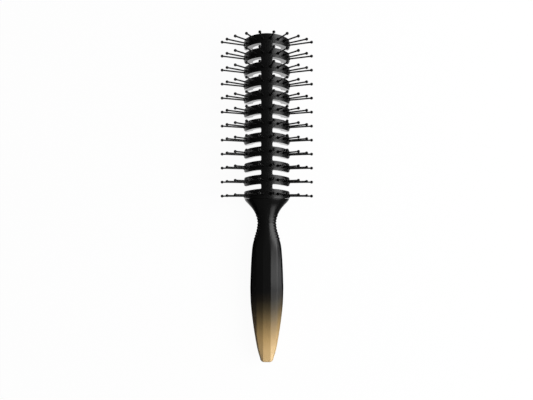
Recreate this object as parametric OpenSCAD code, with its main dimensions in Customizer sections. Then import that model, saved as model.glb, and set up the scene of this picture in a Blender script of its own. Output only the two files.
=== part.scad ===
// Half-round vent brush, lying on its back with its pins up.
// X runs across the brush, Y along it towards the tip of the head, and Z up through the pins.
// The lowest points, the rib ends and the belly of the handle, lie at Z = 0.

/* [Head] */
// Diameter of the half-round barrel that the ribs follow
barrel_d = 33.3; // [30:0.1:40]
// Wall of the head moulding
head_wall = 3.4; // [3.2:0.1:4.5]
// How far the ribs reach past the widest line of the barrel, towards the back
rib_drop = 2.6; // [2.2:0.1:4]
// Width of the spine that carries the ribs
spine_w = 8.1; // [6:0.1:12]
// Radius of the arch that each rib and slot follows across the brush
arch_r = 72; // [55:1:150]
// Height of the vent slot between two ribs
slot_h = 3.3; // [2:0.1:4.5]
// Radius of the corners at the rib ends
rib_corner_r = 1.6; // [0.5:0.1:2]
// Radius of the corners of each slot at the spine
slot_corner_r = 0.7; // [0.3:0.1:0.9]
// Land below the last rib, up to the joint with the handle
joint_land = 0.3; // [0.3:0.1:3]

/* [Pins] */
// Number of pin rows, one to a rib
rows = 12; // [8:1:12]
// Distance from one row to the next
row_pitch = 10; // [9.5:0.1:12]
// Number of pins on each side of a row
pins_per_side = 5; // [3:1:5]
// Angle between neighbouring pins of a row
pin_step_deg = 12.9; // [11:0.1:13]
// Distance from the barrel's axis back to the line that the pins fan out from
fan_drop = 7.9; // [6:0.1:9]
// How far a row of pins lies below the middle of its rib
pin_drop = 0.1; // [0:0.1:0.5]
// Length of a pin from the barrel's surface to the middle of its ball
pin_length = 18.2; // [10:0.1:25]
// Diameter of a pin's shaft
shaft_d = 1.1; // [0.8:0.1:1.3]
// Diameter of the ball at the tip
ball_d = 2.2; // [1.6:0.1:2.3]
// Diameter of the boss that fills the hole in the rib
boss_d = 2.2; // [2:0.1:2.3]
// Height of the boss and its cone above the barrel's surface
boss_rise = 0.7; // [0.4:0.1:1.5]
// Diameter of the pin's flat head behind the wall
pin_head_d = 2.8; // [2.6:0.1:3]
// Thickness of the pin's flat head
pin_head_t = 0.8; // [0.6:0.1:0.9]
// Depth of the seat of the pin's head below the barrel's surface
seat_depth = 2; // [1.6:0.1:2.1]

/* [Retainer] */
// Thickness of the slotted half-liner behind the ribs
retainer_t = 2.7; // [2:0.1:3.5]
// Set-back of the retainer from the rib ends and from the tip
retainer_setback = 0.8; // [0.5:0.1:2]

/* [Handle] */
// Length of the handle from its joint with the head to the butt
handle_len = 117.8; // [100:0.1:150]
// Length of the tongue of the handle that goes into the head
tongue_len = 5.3; // [4:0.1:6]
// Inset of the bell's edge from the barrel's surface
bell_inset = 0.3; // [0.1:0.1:1]
// Distance from the joint to the narrowest place of the neck
neck_at = 17.5; // [15:0.5:20]
// Width of the neck at its narrowest place
neck_w = 12.9; // [10:0.1:16]
// Thickness of the neck at its narrowest place
neck_t = 11.8; // [9:0.1:14]
// Distance from the joint to the widest place of the grip
belly_at = 64.5; // [55:0.5:75]
// Width of the grip at its widest place
belly_w = 24.1; // [20:0.1:28]
// Thickness of the grip at its thickest place
belly_t = 16.5; // [14:0.1:20]
// Width of the butt before its edge is rounded
butt_w = 9.5; // [7:0.1:14]
// Thickness of the butt before its edge is rounded
butt_t = 8.4; // [7:0.1:12]
// Radius of the rounded edge of the butt
butt_round = 2; // [1:0.1:3]
// Width of the flat facet along the middle of the grip
facet_w = 5.4; // [4:0.1:8]
// Width across that facet and the two beside it
shoulder_w = 14.8; // [12:0.1:18]
// Length over which the facets grow out of the round neck
facet_fade = 13; // [8:1:20]

/* [Grip ridges] */
// Number of ridges on each side of the neck
ridge_count = 9; // [4:1:9]
// Distance from one ridge to the next
ridge_pitch = 2; // [1.6:0.1:2.2]
// Height of a ridge
ridge_h = 0.4; // [0.1:0.1:0.6]
// Distance from the joint to the first ridge
ridge_from = 11.7; // [10:0.1:13]

/* [Fits] */
// Clearance around a pin's boss in its hole and above its head
pin_fit = 0.05; // [0.02:0.01:0.1]
// Clearance around a pin's head in its counterbore
head_fit = 0.1; // [0.05:0.01:0.15]
// Clearance between the head moulding and what lies inside it
inner_fit = 0.15; // [0.1:0.01:0.3]
// Gap at the joint between the head and the handle
joint_gap = 0.12; // [0.05:0.01:0.3]
// Gap between the end of the retainer and the handle's tongue
retainer_gap = 0.3; // [0.2:0.1:1]

/* [Hidden] */
ROW_NODES = ["bristle_row_01", "bristle_row_02", "bristle_row_03", "bristle_row_04",
    "bristle_row_05", "bristle_row_06", "bristle_row_07", "bristle_row_08",
    "bristle_row_09", "bristle_row_10", "bristle_row_11", "bristle_row_12"];

barrel_r = barrel_d / 2;
axis_z = rib_drop;
inner_r = barrel_r - head_wall;
liner_r = inner_r - inner_fit;
rib_h = row_pitch - slot_h;
head_len = rows * row_pitch - slot_h + joint_land;
total_len = head_len + joint_gap + handle_len;
tip_y = total_len / 2;
joint_y = tip_y - head_len;
handle_y = joint_y - joint_gap;
tongue_y = handle_y + tongue_len;
past = 1;

// Height of the middle of a row at the centre line, and of the slot below it
function row_y(i) = tip_y - rib_h / 2 - i * row_pitch;
function slot_y(i) = row_y(i) - row_pitch / 2;
// How far a point of an arched row lies towards the handle, at a distance x from the middle
function arch_fall(x) = arch_r - sqrt(arch_r * arch_r - x * x);
// Angle of a pin to the vertical, and its length from the fan line to the barrel's surface
function pin_angle(k) = pin_step_deg * (k + 0.5);
function root_reach(k) = let (a = pin_angle(k))
    fan_drop * cos(a) + sqrt(pow(barrel_r, 2) - pow(fan_drop * sin(a), 2));
// Place of a pin along the brush
function pin_y(row, k) = row_y(row) - pin_drop - arch_fall(root_reach(k) * sin(pin_angle(k)));

// A cylinder of radius r along the barrel's axis
module along_barrel(r, y0, y1) {
    translate([0, y0, axis_z]) rotate([-90, 0, 0]) cylinder(r = r, h = y1 - y0, $fn = 96);
}

// A tube along the barrel, open at the back below the height z0
module c_section(outer_r, bore_r, y0, y1, z0) {
    difference() {
        along_barrel(outer_r, y0, y1);
        along_barrel(bore_r, y0 - past, y1 + past);
        translate([-barrel_d, y0 - past, z0 - barrel_d]) cube([2 * barrel_d, y1 - y0 + 2 * past, barrel_d]);
    }
}

// Points along an arc of a circle, and along an arc about the centre of the arch
function mix(a, b, t) = a + (b - a) * t;
function arc(c, r, from, to, steps) = [for (i = [0 : steps])
    let (a = mix(from, to, i / steps)) c + r * [cos(a), sin(a)]];
function arch(r, from, to, steps) = [for (i = [1 : steps - 1])
    let (a = mix(from, to, i / steps)) [r * sin(a), r * cos(a) - arch_r]];
// Place at a distance x from the middle on the arch of radius r, and its angle to the middle
function on_arch(r, x) = [x, sqrt(r * r - x * x) - arch_r];
function lean(r, x) = asin(x / r);

// A slot lies between two arches. Rounded rib ends flare it at the outside, and it has rounded
// corners at the spine. These are the radii and places of the corner circles.
upper_r = arch_r + slot_h / 2;
lower_r = arch_r - slot_h / 2;
rib_x = barrel_r - rib_corner_r;
slot_x = spine_w / 2 + slot_corner_r;
upper_lean = lean(upper_r + rib_corner_r, rib_x);
lower_lean = lean(lower_r - rib_corner_r, rib_x);
short_of_edge = 10;

// The rounded upper corner of a rib, from its arch round to its outermost line
function rib_top_corner() = arc(on_arch(lower_r - rib_corner_r, rib_x), rib_corner_r,
    90 - lower_lean, short_of_edge, 6);
function rib_low_corner() = arc(on_arch(upper_r + rib_corner_r, rib_x), rib_corner_r,
    270 - upper_lean, 360 - short_of_edge, 6);
function back_to_front(list) = [for (i = [len(list) - 1 : -1 : 0]) list[i]];

// Outline of the right half of a vent slot, around its mid-line at the origin
function slot_points() = let (
    inner_top = lean(upper_r - slot_corner_r, slot_x), inner_low = lean(lower_r + slot_corner_r, slot_x),
    low = rib_low_corner(), top = rib_top_corner(), out = barrel_r + past)
    concat(
        arc(on_arch(upper_r - slot_corner_r, slot_x), slot_corner_r, 180, 90 - inner_top, 4),
        arch(upper_r, inner_top, upper_lean, 8),
        low, [[out, low[len(low) - 1][1]], [out, top[len(top) - 1][1]]], back_to_front(top),
        arch(lower_r, lower_lean, inner_low, 8),
        arc(on_arch(lower_r + slot_corner_r, slot_x), slot_corner_r, 270 - inner_low, 180, 4));

// Outline of what lies past the arched tip of the head
function tip_points() = let (top = rib_top_corner(), out = barrel_r + past,
    half = concat(arch(lower_r, 0, lower_lean, 12), top, [[out, top[len(top) - 1][1]], [out, barrel_r]]))
    concat([[0, lower_r - arch_r]], half, [for (p = back_to_front(half)) [-p[0], p[1]]]);

// The vent slots on both sides, cut straight through the head
module vent_slots() {
    for (i = [0 : rows - 2], s = [0, 1])
        translate([0, slot_y(i), -past]) mirror([s, 0, 0])
            linear_extrude(height = barrel_d) polygon(slot_points());
}

// Puts its children at each pin of a row, with the pin along Z and the surface at the origin
module at_pins(row) {
    for (k = [0 : pins_per_side - 1], s = [-1, 1])
        translate([0, pin_y(row, k), axis_z - fan_drop]) rotate([0, s * pin_angle(k), 0])
            translate([0, 0, root_reach(k)]) children();
}

// Stepped hole for one pin
module pin_hole() {
    translate([0, 0, -seat_depth - past])
        cylinder(d = boss_d + 2 * pin_fit, h = seat_depth + 3 * past, $fn = 24);
    translate([0, 0, -head_wall - 2 * past])
        cylinder(d = pin_head_d + 2 * head_fit, h = head_wall + 2 * past - seat_depth, $fn = 24);
}

// One nylon pin: flat head, boss, cone, shaft and ball
module pin() {
    translate([0, 0, -seat_depth - pin_fit - pin_head_t]) cylinder(d = pin_head_d, h = pin_head_t, $fn = 24);
    translate([0, 0, -seat_depth - pin_head_t]) cylinder(d = boss_d, h = seat_depth + pin_head_t, $fn = 24);
    cylinder(d1 = boss_d, d2 = shaft_d, h = boss_rise, $fn = 24);
    translate([0, 0, -seat_depth]) cylinder(d = shaft_d, h = seat_depth + pin_length, $fn = 16);
    translate([0, 0, pin_length]) sphere(d = ball_d, $fn = 24);
}

// Spine and arched ribs in one moulding
module head_frame() {
    color("#161616") difference() {
        c_section(barrel_r, inner_r, joint_y, tip_y, 0);
        vent_slots();
        translate([0, row_y(0) + row_pitch / 2, -past])
            linear_extrude(height = barrel_d) polygon(tip_points());
        for (row = [0 : rows - 1]) at_pins(row) pin_hole();
    }
}

// Slotted half-liner behind the ribs, with a tail along the spine up to the handle's tongue
module pin_retainer() {
    color("#1c1c1c") difference() {
        c_section(liner_r, liner_r - retainer_t, tongue_y + retainer_gap, tip_y, retainer_setback);
        vent_slots();
        translate([0, row_y(0) + row_pitch / 2 - retainer_setback, -past])
            linear_extrude(height = barrel_d) polygon(tip_points());
        for (s = [0, 1]) mirror([s, 0, 0])
            translate([spine_w / 2, slot_y(rows - 2) - row_pitch, -past])
                cube([barrel_d, row_pitch, barrel_d]);
    }
}

// Ten pins of one row
module bristle_row(row) {
    color("#101010") at_pins(row) pin();
}

// Eased step from 0 to 1
function ease(t) = let (c = min(1, max(0, t))) c * c * (3 - 2 * c);
// Slope of a smooth curve through the points of a shape list
function slope_at(list, i) = let (a = list[max(i - 1, 0)], b = list[min(i + 1, len(list) - 1)])
    (b[1] - a[1]) / (b[0] - a[0]);
function span_of(list, t, i = 0) = i >= len(list) - 2 || t < list[i + 1][0] ? i : span_of(list, t, i + 1);
// Height of the smooth curve through the points of a shape list, at the place t from 0 to 1
function curve(list, t) = let (i = span_of(list, t), a = list[i], b = list[i + 1], w = b[0] - a[0],
    f = min(1, max(0, (t - a[0]) / w)), g = 1 - f)
    (1 + 2 * f) * g * g * a[1] + f * g * g * w * slope_at(list, i)
    + f * f * (3 - 2 * f) * b[1] - f * f * g * w * slope_at(list, i + 1);

// How the bell narrows to the neck, how the grip swells from it, and how it tapers to the butt,
// each as shares of the way along and of the change of width
bell_shape = [[0, 1], [0.086, 0.94], [0.257, 0.66], [0.42, 0.405], [0.58, 0.23], [0.78, 0.067], [1, 0]];
crown_shape = [[0, 1], [0.086, 0.82], [0.28, 0.46], [0.57, 0.17], [1, 0]];
swell_shape = [[0, 0], [0.1, 0.11], [0.2, 0.345], [0.33, 0.66], [0.48, 0.807], [0.73, 0.927], [1, 1]];
taper_shape = [[0, 1], [0.22, 0.944], [0.45, 0.768], [0.685, 0.518], [0.88, 0.254], [1, 0]];

grip_z = belly_t / 2;
bell_r = barrel_r - bell_inset;
butt_at = handle_len - butt_round;

// Half width, crown height and back height of the handle at a distance u from its joint
function bell_share(u) = u / neck_at;
function swell_share(u) = (u - neck_at) / (belly_at - neck_at);
function taper_share(u) = (u - belly_at) / (butt_at - belly_at);
function butt_cut(u) = u < butt_at ? 0 : butt_round - sqrt(max(0, pow(butt_round, 2) - pow(u - butt_at, 2)));
function half_width(u) = u < neck_at ? mix(neck_w / 2, bell_r, curve(bell_shape, bell_share(u)))
    : u < belly_at ? mix(neck_w / 2, belly_w / 2, curve(swell_shape, swell_share(u)))
    : mix(butt_w / 2, belly_w / 2, curve(taper_shape, taper_share(u))) - butt_cut(u);
function half_depth(u) = u < belly_at ? mix(neck_t / 2, belly_t / 2, ease(swell_share(u)))
    : mix(butt_t / 2, belly_t / 2, curve(taper_shape, taper_share(u))) - butt_cut(u);
function mid_z(u) = mix(axis_z, grip_z, ease(bell_share(u)));
function crown_z(u) = u < neck_at
    ? mix(grip_z + neck_t / 2, axis_z + bell_r, curve(crown_shape, bell_share(u))) : grip_z + half_depth(u);
function back_z(u) = u < neck_at ? mix(0, grip_z - neck_t / 2, ease(bell_share(u))) : grip_z - half_depth(u);

// The grip has fourteen facets. A ring has three points to a facet, the first of them on an edge.
facets = 14;
ring_points = 3 * facets;
first_edge = 180 / facets;
function ring_angle(j) = first_edge + 360 * j / ring_points;
function signed_pow(v, e) = sign(v) * pow(abs(v), e);

// Point of a rounded section at an angle from the crown. The back is squared off by the number n.
function round_point(a, crown, mid, back, n, angle) = cos(angle) >= 0
    ? [a * sin(angle), mid + (crown - mid) * cos(angle)]
    : [a * signed_pow(sin(angle), 2 / n), mid + (mid - back) * signed_pow(cos(angle), 2 / n)];

// Places of the edges of the faceted section, from the middle out to the half width a. The front
// facets keep their width along the grip, and the outer ones narrow with it. Near the butt each
// edge stays within its share of the half width.
edge_shares = [0.6, 0.82, 0.91];
function edge_places(a) = [min(facet_w / 2, edge_shares[0] * a), min(shoulder_w / 2, edge_shares[1] * a),
    edge_shares[2] * a, a];
// Edge number k, counted around from the middle of the front, at the half width a
function edge_point(a, depth, k) = let (turn = k % facets, half = facets / 2, from_top = turn % half,
    place = edge_places(a)[min(from_top, half - 1 - from_top)], angle = first_edge * (2 * turn + 1))
    [turn < half ? place : -place, grip_z + depth * cos(angle) / cos(first_edge)];
function facet_point(a, depth, j) = let (edge = floor(j / 3), share = (j % 3) / 3)
    mix(edge_point(a, depth, edge), edge_point(a, depth, edge + 1), share);

// Height of the grip ridges, which grow towards the sides of the neck
ridge_side_share = 0.5;
ridge_grow_share = 0.3;
ridge_end = ridge_from + ridge_count * ridge_pitch;
function ridge(u, angle) = u <= ridge_from || u >= ridge_end ? 0
    : ridge_h * (1 - cos(360 * (u - ridge_from) / ridge_pitch)) / 2
    * ease((abs(sin(angle)) - ridge_side_share) / ridge_grow_share);

facets_from = ridge_end - ridge_pitch;
back_power = 8;
function ring(u) = [for (j = [0 : ring_points - 1])
    let (angle = ring_angle(j), a = half_width(u),
        n = mix(back_power, 2, ease(bell_share(u))),
        soft = round_point(a, crown_z(u), mid_z(u), back_z(u), n, angle),
        hard = facet_point(a, half_depth(u), j),
        p = mix(soft, hard, ease((u - facets_from) / facet_fade)),
        h = ridge(u, angle))
    [p[0] + h * sin(angle), handle_y - u, p[1] + h * cos(angle)]];

// The tongue has the section of the bore of the head
function tongue_ring(y) = [for (j = [0 : ring_points - 1])
    let (p = round_point(liner_r, axis_z + liner_r, axis_z, inner_fit, back_power, ring_angle(j)))
    [p[0], y, p[1]]];

// Distances of the rings from the joint, close together over the ridges
bell_ring_count = 9;
grip_ring_count = 22;
butt_ring_count = 4;
ring_places = concat(
    [for (i = [0 : bell_ring_count]) ridge_from * i / bell_ring_count],
    [for (i = [1 : 4 * ridge_count]) ridge_from + ridge_pitch * i / 4],
    [for (i = [1 : grip_ring_count]) ridge_end + (butt_at - ridge_end) * i / grip_ring_count],
    [for (i = [1 : butt_ring_count]) butt_at + butt_round * sin(90 * i / butt_ring_count)]);

// Sum of a list of points from the place i on, and the middle point of a ring
function total(list, i = 0) = i == len(list) - 1 ? list[i] : list[i] + total(list, i + 1);
function middle(points) = total(points) / len(points);

// Closes a stack of rings of as many points into a solid, with a fan of triangles at each end
module loft(rings) {
    count = len(rings[0]);
    last = len(rings) - 1;
    start = (last + 1) * count;
    polyhedron(
        points = concat([for (r = rings) for (p = r) p], [middle(rings[0]), middle(rings[last])]),
        faces = [for (j = [0 : count - 1]) let (next = (j + 1) % count) each concat(
            [[start, j, next], [start + 1, last * count + next, last * count + j]],
            [for (i = [0 : last - 1]) [i * count + j, (i + 1) * count + j, i * count + next]],
            [for (i = [0 : last - 1]) [i * count + next, (i + 1) * count + j, (i + 1) * count + next]])]);
}

// Bell, ridged neck, faceted grip and butt, with the tongue that goes into the head
module handle() {
    color("#1a1815")
        loft(concat([tongue_ring(tongue_y), tongue_ring(handle_y)], [for (u = ring_places) ring(u)]));
}

head_frame();
handle();
pin_retainer();
for (row = [0 : rows - 1]) bristle_row(row);
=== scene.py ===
# %% [markdown]
# # A half-round vent brush
#
# The brush lies on its back with its pins up. Its solids come from a CAD part, and this notebook
# dresses them: it makes the smooth handle and the nylon pins as surfaces, gives each moulding its
# own finish, and lights the brush as a studio would.

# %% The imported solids
import bmesh
import bpy
import math
import numpy as np
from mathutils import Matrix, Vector


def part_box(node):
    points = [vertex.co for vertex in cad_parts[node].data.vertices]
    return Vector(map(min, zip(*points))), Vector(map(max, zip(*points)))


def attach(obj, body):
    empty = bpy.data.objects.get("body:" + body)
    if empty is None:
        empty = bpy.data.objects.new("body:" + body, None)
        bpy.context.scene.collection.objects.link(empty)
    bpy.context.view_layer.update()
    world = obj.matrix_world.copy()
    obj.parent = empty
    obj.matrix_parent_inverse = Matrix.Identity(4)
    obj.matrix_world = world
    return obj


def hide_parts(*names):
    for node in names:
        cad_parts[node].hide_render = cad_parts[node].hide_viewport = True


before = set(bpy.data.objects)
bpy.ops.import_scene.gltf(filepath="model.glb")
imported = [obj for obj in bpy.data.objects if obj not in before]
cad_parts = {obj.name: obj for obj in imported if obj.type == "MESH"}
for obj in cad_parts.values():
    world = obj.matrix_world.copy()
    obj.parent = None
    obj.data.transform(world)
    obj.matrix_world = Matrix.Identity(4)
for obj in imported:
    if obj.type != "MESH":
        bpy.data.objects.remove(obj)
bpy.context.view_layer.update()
print("nodes:", len(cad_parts))

# %% [markdown]
# ## The camera
#
# The photographer stood over the brush and looked straight down. The undersides of the ribs show
# along the upper half of the head and close up near the joint with the handle, so the lens was
# over that place, about half a metre up. A camera in Blender looks down its own -Z with +Y up,
# so one that looks straight down needs no turn at all.

# %% Camera over the joint of head and handle
MM = 0.001
LENS_MM = 46.6
LENS_PLACE = (-0.23, -0.68, 507.6)
camera = bpy.data.objects.new("camera", bpy.data.cameras.new("camera"))
bpy.context.scene.collection.objects.link(camera)
bpy.context.scene.camera = camera
camera.data.lens = LENS_MM
camera.location = [v * MM for v in LENS_PLACE]
print("camera height in mm:", round(camera.location.z / MM, 1))

# %% [markdown]
# ## Shader maths as plain expressions
#
# A finish is easier to read as a formula than as a web of wires. The class below wraps one socket
# of a node. Its operators add Math nodes, and `add` makes any other node from its type, its
# settings and its inputs.

# %% A socket that can be added and multiplied
class Shade:
    """One output socket of a node tree. Sums and products of such sockets add Math nodes."""

    def __init__(self, tree, socket=None):
        self.tree, self.socket = tree, socket

    def add(self, kind, settings=None, inputs=None, out=0):
        """Makes a node: its settings first, then the values or links of its sockets."""
        node = self.tree.nodes.new(kind)
        for key, value in (settings or {}).items():
            if key == "stops":
                ramp = node.color_ramp
                while len(ramp.elements) < len(value):
                    ramp.elements.new(1)
                for stop, (place, colour) in zip(ramp.elements, value):
                    stop.position, stop.color = place, (*colour, 1)
            else:
                setattr(node, key, value)
        for key, value in (inputs or {}).items():
            if isinstance(value, Shade):
                self.tree.links.new(value.socket, node.inputs[key])
            else:
                node.inputs[key].default_value = value
        return Shade(self.tree, node.outputs[out] if len(node.outputs) else None)

    def maths(self, operation, first, second, clamp=False):
        """A Math node that works on two values or sockets."""
        return self.add("ShaderNodeMath", {"operation": operation, "use_clamp": clamp},
                        {0: first, 1: second})

    def __add__(self, other): return self.maths("ADD", self, other)
    def __radd__(self, other): return self.maths("ADD", other, self)
    def __sub__(self, other): return self.maths("SUBTRACT", self, other)
    def __rsub__(self, other): return self.maths("SUBTRACT", other, self)
    def __mul__(self, other): return self.maths("MULTIPLY", self, other)
    def __rmul__(self, other): return self.maths("MULTIPLY", other, self)

    def clipped(self):
        """The value, kept between 0 and 1."""
        return self.maths("MULTIPLY", self, 1.0, clamp=True)


def new_material(name):
    """An empty node material, with the place on the object. Each finish adds its own output node."""
    material = bpy.data.materials.new(name)
    material.use_nodes = True
    material.node_tree.nodes.clear()
    start = Shade(material.node_tree)
    place = start.add("ShaderNodeTexCoord", out="Object")
    return material, start, place


print("operators ready")

# %% [markdown]
# ## Moulded plastic
#
# Head, pins and retainer are black nylon and ABS. A mould leaves three things on such plastic: a
# fine satin grain, broad patches where it cooled a little glossier, and edges that are never quite
# sharp. Noise gives the first two. The Bevel node rounds the shading of each edge by a fraction of
# a millimetre, which costs no geometry. The slots are shaped by polished steel, so their walls are
# smoother than the rest. Those are the faces that look along Y, which the true normal tells.

# %% A finish for moulded parts
PATCH_SCALE, PATCH_SPREAD = 60.0, 0.08
WALL_FROM = 0.7


def moulded(name, colour, roughness, grain_height, grain_width, edge_radius, polish=0.0):
    """Plastic with a grain, softened edges, and smoother walls. Lengths in millimetres."""
    material, start, place = new_material(name)
    patches = start.add("ShaderNodeTexNoise", inputs={
        "Vector": place, "Scale": PATCH_SCALE, "Detail": 2.0})
    fine = start.add("ShaderNodeTexNoise", inputs={
        "Vector": place, "Scale": 1 / (grain_width * MM), "Detail": 1.0})
    inputs = {"Height": fine, "Strength": 1.0, "Distance": grain_height * MM}
    if edge_radius:
        inputs["Normal"] = start.add("ShaderNodeBevel", {"samples": 6}, {"Radius": edge_radius * MM})
    bump = start.add("ShaderNodeBump", inputs=inputs)
    facing = start.add("ShaderNodeSeparateXYZ", inputs={
        "Vector": start.add("ShaderNodeNewGeometry", out="True Normal")}, out="Y")
    wall = facing.maths("GREATER_THAN", facing.maths("ABSOLUTE", facing, 0.0), WALL_FROM)
    satin = roughness - PATCH_SPREAD / 2 + PATCH_SPREAD * patches - polish * wall
    surface = start.add("ShaderNodeBsdfPrincipled", inputs={
        "Base Color": (*colour, 1), "Roughness": satin, "IOR": 1.5, "Normal": bump})
    start.add("ShaderNodeOutputMaterial", inputs={"Surface": surface})
    return material


head_black = moulded("head_black", (0.0036, 0.0036, 0.0037), roughness=0.34,
                     grain_height=0.004, grain_width=0.25, edge_radius=0.1, polish=0.26)
retainer_black = moulded("retainer_black", (0.006, 0.006, 0.0062), roughness=0.42,
                         grain_height=0.004, grain_width=0.3, edge_radius=0.1, polish=0.34)
nylon_black = moulded("nylon_black", (0.004, 0.004, 0.004), roughness=0.28,
                      grain_height=0.001, grain_width=0.1, edge_radius=0)
print("plastics:", [m.name for m in (head_black, retainer_black, nylon_black)])

# %% [markdown]
# ## The handle's lacquer
#
# The handle is sprayed: black from the bell down to the middle of the grip, then champagne gold
# that thickens towards the butt. The spray is a cloud of droplets, so the change is a soft ramp
# along Y with a speckle that shows only where both colours meet. On the right-hand (+X) side the
# mask is raised a little more, so the gold starts higher up on the right-hand facets than on the
# left. A fully metallic finish would mirror the dark room and turn brown, but the gold in the
# photograph stays pale. It is made as a warm pigment under a soft clear coat, and the coat comes
# in with the same mask as the colour.

# %% Black that fades to gold
FADE_FROM, FADE_TO = -66.25, -116.25
SPRAY_SIDE, RIGHT_SIDE_LEAD, SPECKLE = 10.0, 0.06, 0.10
SATIN, SATIN_SWIRL, SATIN_GOLD = 0.27, 0.06, 0.1
DROPLET_SCALE, SWIRL_SCALE, GRAIN_SCALE, GRAIN_HEIGHT = 2600.0, 90.0, 5000.0, 0.0012
GOLD_STOPS = [
    (0.0, (0.0036, 0.0036, 0.0036)), (0.12, (0.012, 0.0092, 0.0054)), (0.26, (0.055, 0.041, 0.0185)),
    (0.41, (0.168, 0.114, 0.046)), (0.55, (0.34, 0.223, 0.087)), (0.69, (0.52, 0.338, 0.136)),
    (0.83, (0.67, 0.452, 0.196)), (1.0, (0.75, 0.515, 0.235))]


def ombre_lacquer():
    """Base colour, roughness and clear coat follow one mask, 0 at the neck and 1 at the butt."""
    material, start, place = new_material("ombre_lacquer")
    along = start.add("ShaderNodeSeparateXYZ", inputs={"Vector": place}, out="Y")
    across = start.add("ShaderNodeSeparateXYZ", inputs={"Vector": place}, out="X")
    right = (across * (1 / (SPRAY_SIDE * MM))).clipped()
    droplets = start.add("ShaderNodeTexNoise", inputs={
        "Vector": place, "Scale": DROPLET_SCALE, "Detail": 2.0})
    mask = (along - FADE_FROM * MM) * (1 / ((FADE_TO - FADE_FROM) * MM))
    # The right-hand (+X) side is raised towards gold by the cube of its share across.
    mask = (mask + SPECKLE * (droplets - 0.5) + RIGHT_SIDE_LEAD * right * right * right).clipped()
    colour = start.add("ShaderNodeValToRGB", {"stops": GOLD_STOPS}, {"Fac": mask})
    swirl = start.add("ShaderNodeTexNoise", inputs={"Vector": place, "Scale": SWIRL_SCALE, "Detail": 2.0})
    fine = start.add("ShaderNodeTexNoise", inputs={"Vector": place, "Scale": GRAIN_SCALE, "Detail": 1.0})
    bump = start.add("ShaderNodeBump", inputs={
        "Height": fine, "Strength": 1.0, "Distance": GRAIN_HEIGHT * MM})
    surface = start.add("ShaderNodeBsdfPrincipled", inputs={
        "Base Color": colour, "Roughness": SATIN + SATIN_SWIRL * swirl + SATIN_GOLD * mask,
        "IOR": 1.5, "Normal": bump,
        "Coat Weight": mask, "Coat Roughness": 0.45, "Coat IOR": 1.8})
    start.add("ShaderNodeOutputMaterial", inputs={"Surface": surface})
    return material


ombre = ombre_lacquer()
print("fade in mm along Y:", FADE_FROM, "to", FADE_TO)

# %% [markdown]
# ## Reading the sizes off the solids
#
# The surfaces below have to fit the solids, so their overall sizes come from the boxes of the
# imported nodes, and the smaller ones repeat the CAD part's own numbers. Two of those differ a little
# for the look: how far the ridges reach round the neck, and over what length the facets fade in.
# The rounded edges are added here. Lengths are in millimetres until a mesh is made.

# %% Sizes in millimetres
def box_mm(node):
    """Lowest and highest corner of a node, in millimetres."""
    return [np.array(corner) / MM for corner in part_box(node)]


head_low, head_high = box_mm("head_frame")
handle_low, handle_high = box_mm("handle")
barrel_r = (head_high[0] - head_low[0]) / 2
axis_z = head_high[2] - barrel_r
head_wall = 3.4
tongue_len = 5.3
handle_len = handle_high[1] - tongue_len - handle_low[1]
handle_y = handle_low[1] + handle_len
belly_t = 16.5
print("barrel radius", round(barrel_r, 2), "axis height", round(axis_z, 2),
      "handle length", round(handle_len, 2), "from y =", round(handle_y, 2))

# %% [markdown]
# ## Grids of points into meshes
#
# The handle and the pins are grids: rings of points, one after the other, each closed on itself.
# One function gives the faces of such a grid as whole arrays, with a fan from the first and the last
# ring to a middle point, so that the piece is closed. The order of a face's corners says which side
# is its outside. It depends on whether the rings go along the axis that their columns turn about,
# as a pin's do, or against it, as the handle's do, whose faces are flipped.

# %% A closed tube from rings
def tube_faces(rings, columns, flipped=False):
    """Quads between neighbouring rings, and triangles from both end rings to their middle points.

    The two middle points come after all the others. A flipped face keeps its first corner, so that
    a quad is still cut along the same diagonal.
    """
    j = np.arange(columns)
    k = (j + 1) % columns
    i = np.arange(rings - 1)[:, None] * columns
    quads = np.stack([i + j, i + k, i + columns + k, i + columns + j], axis=-1).reshape(-1, 4)
    last, middle = (rings - 1) * columns, np.full(columns, rings * columns)
    caps = np.concatenate([np.stack([middle, k, j], axis=-1),
                           np.stack([middle + 1, last + j, last + k], axis=-1)])
    if flipped:
        quads, caps = quads[:, [0, 3, 2, 1]], caps[:, [0, 2, 1]]
    return quads, caps


def add_piece(name, points_mm, quads, triangles, material):
    """A smooth mesh from points in millimetres and whole arrays of faces."""
    mesh = bpy.data.meshes.new(name)
    faces = [tuple(f) for f in quads.tolist()] + [tuple(f) for f in triangles.tolist()]
    mesh.from_pydata((np.asarray(points_mm) * MM).tolist(), [], faces)
    mesh.polygons.foreach_set("use_smooth", np.ones(len(mesh.polygons), dtype=bool))
    mesh.materials.append(material)
    mesh.update()
    piece = bpy.data.objects.new(name, mesh)
    bpy.context.scene.collection.objects.link(piece)
    return piece


def volume_mm3(piece):
    """Signed volume of a closed mesh: positive when its faces point outwards."""
    bm = bmesh.new()
    bm.from_mesh(piece.data)
    volume = bm.calc_volume(signed=True) / MM ** 3
    bm.free()
    return volume


print("grid helpers ready")

# %% [markdown]
# ## The handle
#
# The handle starts as wide as the head, narrows in a bell to a ridged neck, and swells into a grip
# with fourteen flat facets that tapers to a blunt butt. It could be sculpted, or cut from a
# cylinder with modifiers. Here it is one surface of two parameters, the distance `u` from the
# joint and the place `s` around the grip, because the facets then fade into the round neck by
# mixing two sections of the same parameters.

# %% Curves along the handle
def ease(t):
    """Eased step from 0 to 1: three t squared less two t cubed."""
    c = np.clip(t, 0, 1)
    return c * c * (3 - 2 * c)


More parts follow.
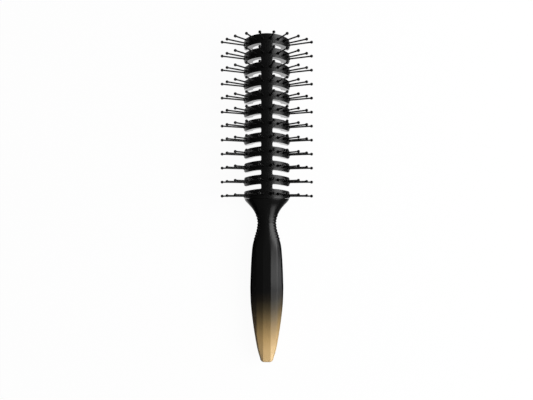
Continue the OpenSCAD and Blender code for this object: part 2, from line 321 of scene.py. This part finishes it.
def curve(stops, t):
    """Smooth curve through the stops: a cubic between each two, with slopes from their neighbours."""
    x, y = np.array(stops).T
    slope = np.gradient(y, x)
    slope[1:-1] = (y[2:] - y[:-2]) / (x[2:] - x[:-2])
    i = np.clip(np.searchsorted(x, t, side="right") - 1, 0, len(x) - 2)
    w = x[i + 1] - x[i]
    f = np.clip((t - x[i]) / w, 0, 1)
    g = 1 - f
    return ((1 + 2 * f) * g * g * y[i] + f * g * g * w * slope[i]
            + f * f * (3 - 2 * f) * y[i + 1] - f * f * g * w * slope[i + 1])


def mix(a, b, t):
    """The value a share t of the way from a to b."""
    return a + (b - a) * t


bell = [[0, 1], [0.086, 0.94], [0.257, 0.66], [0.42, 0.405], [0.58, 0.23], [0.78, 0.067], [1, 0]]
crown = [[0, 1], [0.086, 0.82], [0.28, 0.46], [0.57, 0.17], [1, 0]]
swell = [[0, 0], [0.1, 0.11], [0.2, 0.345], [0.33, 0.66], [0.48, 0.807], [0.73, 0.927], [1, 1]]
taper = [[0, 1], [0.22, 0.944], [0.45, 0.768], [0.685, 0.518], [0.88, 0.254], [1, 0]]
neck_at, neck_w, neck_t = 17.5, 12.9, 11.8
belly_at, belly_w = 64.5, 24.1
butt_w, butt_t, butt_round = 9.5, 8.4, 2.0
facet_w, shoulder_w, edge_shares = 5.4, 14.8, (0.6, 0.82, 0.91)
butt_at = handle_len - butt_round
bell_inset = 0.3
grip_z, bell_r = belly_t / 2, barrel_r - bell_inset


def side_curves(u):
    """Half width, half thickness, and heights of middle, crown and back, at distances u from the joint.

    Each is mixed between the sizes at joint, neck, belly and butt, by the curves above or by an
    eased step. Beyond butt_at a quarter circle is taken off, which rounds the butt.
    """
    down, up = u / neck_at, (u - neck_at) / (belly_at - neck_at)
    out = (u - belly_at) / (butt_at - belly_at)
    cut = butt_round - np.sqrt(np.maximum(0, butt_round ** 2 - np.maximum(0, u - butt_at) ** 2))
    tapered = curve(taper, out)
    half_w = np.where(u < neck_at, mix(neck_w / 2, bell_r, curve(bell, down)),
                      np.where(u < belly_at, mix(neck_w / 2, belly_w / 2, curve(swell, up)),
                               mix(butt_w / 2, belly_w / 2, tapered))) - cut
    half_t = np.where(u < belly_at, mix(neck_t / 2, belly_t / 2, ease(up)),
                      mix(butt_t / 2, belly_t / 2, tapered)) - cut
    middle = mix(axis_z, grip_z, ease(down))
    top = np.where(u < neck_at, mix(grip_z + neck_t / 2, axis_z + bell_r, curve(crown, down)),
                   grip_z + half_t)
    back = np.where(u < neck_at, mix(0, grip_z - neck_t / 2, ease(down)), grip_z - half_t)
    return half_w, half_t, middle, top, back


for u in (0.0, neck_at, belly_at, butt_at):
    print("u", u, "half width and thickness", [round(float(v), 2) for v in side_curves(np.array(u))[:2]])

# %% Sections around the handle
FACETS = 14
FIRST_EDGE = math.pi / FACETS


def soft_section(angle, half_w, middle, top, back, squareness):
    """Rounded section. Its crown is half an ellipse, its back a squarer one by the power n."""
    n = 2 / squareness
    s, c = np.sin(angle), np.cos(angle)
    front = c >= 0
    x = half_w * np.where(front, s, np.sign(s) * np.abs(s) ** n)
    z = middle + np.where(front, (top - middle) * c, -(middle - back) * np.abs(c) ** n)
    return x, z


def facet_edges(half_w, half_t):
    """The fourteen edges. The front facets keep their width, and the outer ones narrow with the grip.

    Heights are the cosines of evenly spaced angles, stretched so that the top facet lies half_t
    above the grip's middle.
    """
    turn = np.arange(FACETS + 1) % FACETS
    from_top = turn % (FACETS // 2)
    places = np.concatenate([np.minimum(facet_w / 2, edge_shares[0] * half_w),
                             np.minimum(shoulder_w / 2, edge_shares[1] * half_w),
                             edge_shares[2] * half_w, half_w], axis=1)
    x = np.where(turn < FACETS // 2, 1, -1) * places[:, np.minimum(from_top, FACETS // 2 - 1 - from_top)]
    z = grip_z + half_t * np.cos(FIRST_EDGE * (2 * turn + 1)) / math.cos(FIRST_EDGE)
    return x, z


def hard_section(place, half_w, half_t, rounding):
    """Faceted section at places s from 0 to 14. Near each edge a parabola rounds it off."""
    ex, ez = facet_edges(half_w, half_t)
    nearest = np.rint(place).astype(int)
    t = np.clip((place - nearest) / (2 * rounding) + 0.5, 0, 1)

    def on_facets(s, e):
        """Straight line between the two edges on either side of s."""
        i = np.floor(s).astype(int) % FACETS
        return mix(e[:, i], e[:, i + 1], s - np.floor(s))

    def rounded(e):
        """The straight facets, and near an edge a quadratic Bezier arc with the edge as its corner."""
        before, after = on_facets(nearest - rounding, e), on_facets(nearest + rounding, e)
        corner = e[:, nearest % FACETS]
        arc = (1 - t) ** 2 * before + 2 * t * (1 - t) * corner + t ** 2 * after
        return np.where(np.abs(place - nearest) < rounding, arc, on_facets(place, e))
    return rounded(ex), rounded(ez)


ROUNDING = 0.06
edge_points = ROUNDING * np.array([-1.7, -1, -0.34, 0.34, 1, 1.7])
around = (np.arange(FACETS)[:, None] + edge_points[None, :]).ravel() % FACETS
around = np.sort(np.concatenate([around, np.arange(FACETS) + 0.5]))
print("points around the grip:", len(around))

# %% [markdown]
# The ridges on the neck are small waves that grow only on its two sides, where thumb and finger
# pinch it. Rings around the neck would be simpler, but its front and back are smooth. So the waves
# push the surface straight out, by an amount that depends on both parameters.

# %% The handle as one surface
ridge_from, ridge_pitch, ridge_count, ridge_h = 11.7, 2.0, 9, 0.4
ridge_end = ridge_from + ridge_count * ridge_pitch
ridge_side, ridge_blend = 0.62, 0.3
facets_from, facets_over = ridge_end - ridge_pitch, 12
square_back, round_back = 8, 2


def handle_surface(u, s):
    """Point of the handle: a mix of the soft and the faceted section, plus the ridges.

    The share of facets eases in from the last ridge on. A ridge is a raised cosine along u, pushed
    out along the angle of s, and only where the sine of that angle is large, at the sides.
    """
    u, s = u[:, None], s[None, :]
    half_w, half_t, middle, top, back = side_curves(u)
    angle = FIRST_EDGE + 2 * math.pi * s / FACETS
    squareness = mix(square_back, round_back, ease(u / neck_at))
    soft = soft_section(angle, half_w, middle, top, back, squareness)
    hard = hard_section(s[0], half_w, half_t, ROUNDING)
    share = ease((u - facets_from) / facets_over)
    wave = np.where((u > ridge_from) & (u < ridge_end),
                    ridge_h * (1 - np.cos(2 * math.pi * (u - ridge_from) / ridge_pitch)) / 2, 0)
    wave = wave * ease((np.abs(np.sin(angle)) - ridge_side) / ridge_blend)
    x = mix(soft[0], hard[0], share) + wave * np.sin(angle)
    z = mix(soft[1], hard[1], share) + wave * np.cos(angle)
    return np.stack([x, handle_y - u + 0 * x, z], axis=-1)


print("ridges from", ridge_from, "to", ridge_end, "facets full at", facets_from + facets_over)

# %% Rings from the joint to the butt
rim_r, bell_rings, rings_per_ridge, grip_rings = 0.25, 18, 8, 46
ridge_rings = np.arange(1, rings_per_ridge * ridge_count + 1)
rim = rim_r * (1 - np.cos(np.radians([0, 30, 60, 90])))
along = np.concatenate([rim, np.linspace(rim_r, ridge_from, bell_rings)[1:],
                        ridge_from + ridge_rings * ridge_pitch / rings_per_ridge,
                        np.linspace(ridge_end, butt_at, grip_rings)[1:],
                        butt_at + butt_round * np.sin(np.radians([12, 25, 38, 51, 64, 77, 90]))])
body = handle_surface(along, around)
# The edge at the joint is rounded: its first rings are pulled in along a quarter circle.
inset = rim_r * (1 - np.sin(np.radians([0, 30, 60])))
core_lift = 4.0
bell_core = np.array([0, 0, axis_z + core_lift])
for ring, distance in enumerate(inset):
    away = body[ring] - bell_core
    away[:, 1] = 0
    body[ring] -= away / np.linalg.norm(away, axis=1, keepdims=True) * distance
print("rings:", len(along), "the last at", round(float(along[-1]), 2))

# %% [markdown]
# The tongue is the end of the handle that goes into the head and holds it. It could be a piece of
# its own. As four more rings before the bell it makes one closed mesh with the handle.

# %% The tongue
angle = FIRST_EDGE + 2 * math.pi * around / FACETS
slide_fit, root_lift, tip_round, tip_middle = 0.15, 0.02, 0.3, 0.1
tongue_r = barrel_r - head_wall - slide_fit


def tongue_ring(y, shrink):
    """Section of the tongue that goes into the head, a little smaller at its end."""
    x, z = soft_section(angle, tongue_r - shrink, axis_z, axis_z + tongue_r - shrink,
                        slide_fit + shrink, square_back)
    return np.stack([x, np.full_like(x, y), z], axis=-1)


tongue_end = handle_y + tongue_len
tongue = np.stack([tongue_ring(tongue_end, tip_round), tongue_ring(tongue_end - tip_middle, tip_middle),
                   tongue_ring(tongue_end - tip_round, 0), tongue_ring(handle_y + root_lift, 0)])
print("tongue radius", round(tongue_r, 2), "from y =", round(handle_y, 2), "to", round(tongue_end, 2))

# %% All rings into one closed mesh
rings = np.concatenate([tongue, body])
count, columns = rings.shape[:2]
points = np.concatenate([rings.reshape(-1, 3), rings[[0, -1]].mean(axis=1)])
quads, caps = tube_faces(count, columns, flipped=True)
handle = add_piece("lacquered_handle", points, quads, caps, ombre)
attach(handle, "root")
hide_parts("handle")
print("handle rings", count, "points in each", columns, "volume in mm3", round(volume_mm3(handle)))

# %% [markdown]
# ## The pins
#
# Each pin is a turned shape: a flat head that sits behind the wall, a boss that fills the hole, a
# cone, a thin shaft and a ball that keeps the tip from scratching. Cylinders and a sphere could be
# joined for it, but a surface of revolution is one closed skin with few faces, which matters for a
# shape that comes a hundred and twenty times. One profile is turned once, and the ten pins of a row
# are its points tilted by ten angles, all in one array.

# %% Where the pins stand
arch_r, row_pitch, rib_h, pin_drop = 72.0, 10.0, 6.7, 0.1
pin_step, fan_drop, pin_length = math.radians(12.9), 7.9, 18.2
pins_per_side = 5
pins = np.arange(pins_per_side) + 0.5
tilt = np.concatenate([-pins[::-1], pins]) * pin_step
# The pins fan out from a point below the barrel's axis. Reach is the way from there to the barrel's
# surface. Fall is the arch's radius less the root of its square less the square of the pin's foot
# sideways: by so much a foot lies further from the tip of the head than the row's middle does.
reach = fan_drop * np.cos(tilt) + np.sqrt(barrel_r ** 2 - (fan_drop * np.sin(tilt)) ** 2)
fall = arch_r - np.sqrt(arch_r ** 2 - (reach * np.sin(tilt)) ** 2)
print("pin angles in degrees:", np.degrees(tilt).round(1))

# %% One pin's profile, turned
ball = np.radians([-60, -32, -4, 24, 52, 80])
shaft_r, ball_r, boss_r, cone_h = 0.55, 1.1, 1.1, 0.7
head_r, head_back, head_front, boss_back = 1.4, -2.85, -2.07, -2.0
profile = np.array([[head_r / 2, head_back], [head_r, head_back], [head_r, head_front],
                    [boss_r, boss_back], [boss_r, 0.0], [shaft_r, cone_h]]
                   + [[ball_r * math.cos(a), pin_length + ball_r * math.sin(a)] for a in ball])
sides = 10
turn = 2 * math.pi * np.arange(sides) / sides
pin_rings = np.stack([profile[:, :1] * np.cos(turn), profile[:, :1] * np.sin(turn),
                      np.repeat(profile[:, 1:], sides, axis=1)], axis=-1)
pin_points = np.concatenate([pin_rings.reshape(-1, 3), [[0, 0, head_back]], [[0, 0, pin_length + ball_r]]])
pin_quads, pin_caps = tube_faces(len(profile), sides)
print("faces of one pin:", len(pin_quads) + len(pin_caps))

# %% Twelve rows of ten
def row_of_pins(row):
    """Lifts the turned pin by its reach, tilts it by each angle about Y, and moves it back by its fall."""
    y = head_high[1] - rib_h / 2 - row * row_pitch - pin_drop - fall
    s, c = np.sin(tilt)[:, None], np.cos(tilt)[:, None]
    x0, y0, z0 = pin_points.T
    z0 = z0[None, :] + reach[:, None]
    placed = np.stack([x0 * c + z0 * s, y0 + y[:, None], axis_z - fan_drop - x0 * s + z0 * c], axis=-1)
    shift = (np.arange(len(tilt)) * len(pin_points))[:, None, None]
    quads = (pin_quads[None] + shift).reshape(-1, 4)
    caps = (pin_caps[None] + shift).reshape(-1, 3)
    return placed.reshape(-1, 3), quads, caps


rows = sorted(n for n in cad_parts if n.startswith("bristle_row"))
for number, node in enumerate(rows):
    piece = add_piece(node.replace("bristle", "pin"), *row_of_pins(number), nylon_black)
    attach(piece, "root")
    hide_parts(node)
print("rows of pins:", len(rows), "volume of the last in mm3", round(volume_mm3(piece)))

# %% [markdown]
# ## The head
#
# The ribs and slots are cut exactly in the solid, so the head keeps its own mesh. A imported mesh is
# loose triangles and would shade flat, one facet at a time. A merged copy shares its corners, and
# where a corner lies on the barrel or in its bore the true normal is known: it points straight
# away from the axis, or straight at it. Setting that normal makes the ribs shade as round as they are.

# %% A merged copy with true normals
WELD, CREASE_DEG = 0.002, 28
ON_RADIUS, SQUARE_ON = 0.05, 0.9


def merged_copy(node, name, radii, material):
    """Copy of a node with shared corners, and radial normals where a face lies on a given radius."""
    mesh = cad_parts[node].data.copy()
    mesh.name = name
    bm = bmesh.new()
    bm.from_mesh(mesh)
    bmesh.ops.remove_doubles(bm, verts=bm.verts, dist=WELD * MM)
    bm.to_mesh(mesh)
    bm.free()
    mesh.polygons.foreach_set("use_smooth", np.ones(len(mesh.polygons), dtype=bool))
    mesh.set_sharp_from_angle(angle=math.radians(CREASE_DEG))
    loops = len(mesh.loops)
    corner, normal = np.empty(loops, dtype=np.int32), np.empty(loops * 3, dtype=np.float32)
    mesh.loops.foreach_get("vertex_index", corner)
    mesh.corner_normals.foreach_get("vector", normal)
    place = np.empty(len(mesh.vertices) * 3, dtype=np.float32)
    mesh.vertices.foreach_get("co", place)
    size = np.empty(len(mesh.polygons), dtype=np.int32)
    flat = np.empty(len(mesh.polygons) * 3, dtype=np.float32)
    mesh.polygons.foreach_get("loop_total", size)
    mesh.polygons.foreach_get("normal", flat)
    normal, place = normal.reshape(-1, 3), place.reshape(-1, 3)[corner] / MM
    flat = np.repeat(flat.reshape(-1, 3), size, axis=0)
    radial = place * [1, 0, 1] - [0, 0, axis_z]
    distance = np.linalg.norm(radial, axis=1)
    radial /= np.maximum(distance, 1e-6)[:, None]
    facing = (radial * flat).sum(axis=1)
    for radius in radii:
        on_it = (np.abs(distance - radius) < ON_RADIUS) & (np.abs(facing) > SQUARE_ON)
        normal[on_it] = radial[on_it] * np.sign(facing[on_it])[:, None]
    mesh.normals_split_custom_set(normal.tolist())
    mesh.materials.clear()
    mesh.materials.append(material)
    piece = bpy.data.objects.new(name, mesh)
    bpy.context.scene.collection.objects.link(piece)
    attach(piece, "root")
    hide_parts(node)
    return piece


head = merged_copy("head_frame", "vented_head", (barrel_r, barrel_r - head_wall), head_black)
print("head faces", len(head.data.polygons), "volume in mm3", round(volume_mm3(head)))

# %% [markdown]
# ## The retainer
#
# A slotted half-liner snaps in behind the ribs and holds the pin heads. It is seen from the back
# and, edge on, between the ribs. It could be a new half tube with slots, but the solid has them
# exactly where the ribs' slots are, so it too stays a merged copy with true normals.

# %% The liner behind the ribs
liner_r, liner_t = barrel_r - head_wall - slide_fit, 2.7
retainer = merged_copy("pin_retainer", "slotted_retainer", (liner_r, liner_r - liner_t), retainer_black)
print("retainer faces", len(retainer.data.polygons))

# %% [markdown]
# ## The white table
#
# Black plastic shows what it mirrors more than its own colour. In the photograph the flanks mirror
# darkness, so the outlines stay black, and the undersides of the ribs mirror white. A room that is
# white all round would turn the flanks grey. So the sheet below is plain white to the camera and
# keeps a faint shadow, and to glossy surfaces it is white under the head and fades out around it,
# quickly on the right, where the ribs end dark, and slowly on the left, where their ends glow.

# %% White sheet
CARD_RIGHT, CARD_LEFT = (13.0, 20.0), (18.0, 130.0)
CARD_TIP, CARD_JOINT = (117.0, 16.0), (1.0, 16.0)
PAPER_SHARE = 0.04
SHEET_HALF, SHEET_DROP = 3000.0, 0.05


def white_sheet():
    """Diffuse white, mixed with plain white for rays from the camera and from glossy surfaces."""
    material, start, place = new_material("white_sheet")
    camera_ray, glossy_ray, through_ray = (
        start.add("ShaderNodeLightPath", out=name)
        for name in ("Is Camera Ray", "Is Glossy Ray", "Is Transmission Ray"))
    across = start.add("ShaderNodeSeparateXYZ", inputs={"Vector": place}, out="X")
    along = start.add("ShaderNodeSeparateXYZ", inputs={"Vector": place}, out="Y")

    def fades(distance, edge, width):
        """1 up to the edge, then a squared fall to 0 over the width."""
        level = (1.0 - (distance - edge * MM) * (1 / (width * MM))).clipped()
        return level * level

    ends = fades(along, *CARD_TIP) * fades(0.0 - along, *CARD_JOINT)
    card = fades(across, *CARD_RIGHT) * fades(0.0 - across, *CARD_LEFT) * ends
    paper = start.add("ShaderNodeBsdfDiffuse", inputs={"Color": (0.9, 0.9, 0.9, 1)})
    white = start.add("ShaderNodeEmission", inputs={
        "Color": (1, 1, 1, 1), "Strength": (camera_ray + through_ray + glossy_ray * card).clipped()})
    seen = (camera_ray + glossy_ray + through_ray).clipped()
    surface = start.add("ShaderNodeMixShader", inputs={
        0: seen - PAPER_SHARE * camera_ray, 1: paper, 2: white})
    start.add("ShaderNodeOutputMaterial", inputs={"Surface": surface})
    return material


corners = np.array([[-1, -1, 0], [1, -1, 0], [1, 1, 0], [-1, 1, 0]])
floor_points = corners * SHEET_HALF - [0, 0, SHEET_DROP]
floor = add_piece("sheet", floor_points, np.array([[0, 1, 2, 3]]), np.empty((0, 3), dtype=int), white_sheet())
print("sheet is", 2 * SHEET_HALF * MM, "m wide")

# %% [markdown]
# ## Lamps and room
#
# A black, glossy shape is drawn by long, even highlights, so the lamps are large softboxes and not
# small bulbs. Two stand on the right: head and neck mirror the stronger one, and the gold mirrors
# the weaker one beyond it. A third lights colours alone and is hidden from glossy rays, because it
# would add a second highlight. The room is white to the camera, like the sheet, and dim to the brush.

# %% Lamps
def lamp(name, place, aim, size, power, glossy=True):
    """Rectangular softbox at a place, turned to a point it lights."""
    light = bpy.data.lights.new(name, "AREA")
    light.shape, light.size, light.size_y, light.energy = "RECTANGLE", size[0], size[1], power
    shown = bpy.data.objects.new(name, light)
    bpy.context.scene.collection.objects.link(shown)
    shown.location = place
    shown.rotation_mode = "QUATERNION"
    shown.rotation_quaternion = (Vector(aim) - Vector(place)).to_track_quat("-Z", "Y")
    shown.visible_glossy = glossy
    return shown


lamps = [
    lamp("right_softbox", (0.859, 0.25, 0.521), aim=(0, 0.25, 0.01), size=(0.84, 0.88), power=7.7),
    lamp("lower_softbox", (0.859, -0.45, 0.521), aim=(0, -0.45, 0.01), size=(0.84, 0.56), power=2.25),
    lamp("right_fill", (1.06, -0.2, 1.1), aim=(0, 0, 0), size=(1.4, 1.4), power=19.8, glossy=False)]
print("lamps:", {shown.name: shown.data.energy for shown in lamps})

# %% Room
ROOM_LEVEL = 0.06
world = bpy.data.worlds.new("dark_room")
bpy.context.scene.world = world
world.use_nodes = True
world.node_tree.nodes["Background"].inputs["Color"].default_value = (1, 1, 1, 1)
room = Shade(world.node_tree)
seen_room = (room.add("ShaderNodeLightPath", out="Is Camera Ray")
             + room.add("ShaderNodeLightPath", out="Is Transmission Ray")).clipped()
level = ROOM_LEVEL + (1 - ROOM_LEVEL) * seen_room
world.node_tree.links.new(level.socket, world.node_tree.nodes["Background"].inputs["Strength"])
bpy.context.scene.view_settings.view_transform = "Standard"
print("room level:", ROOM_LEVEL)
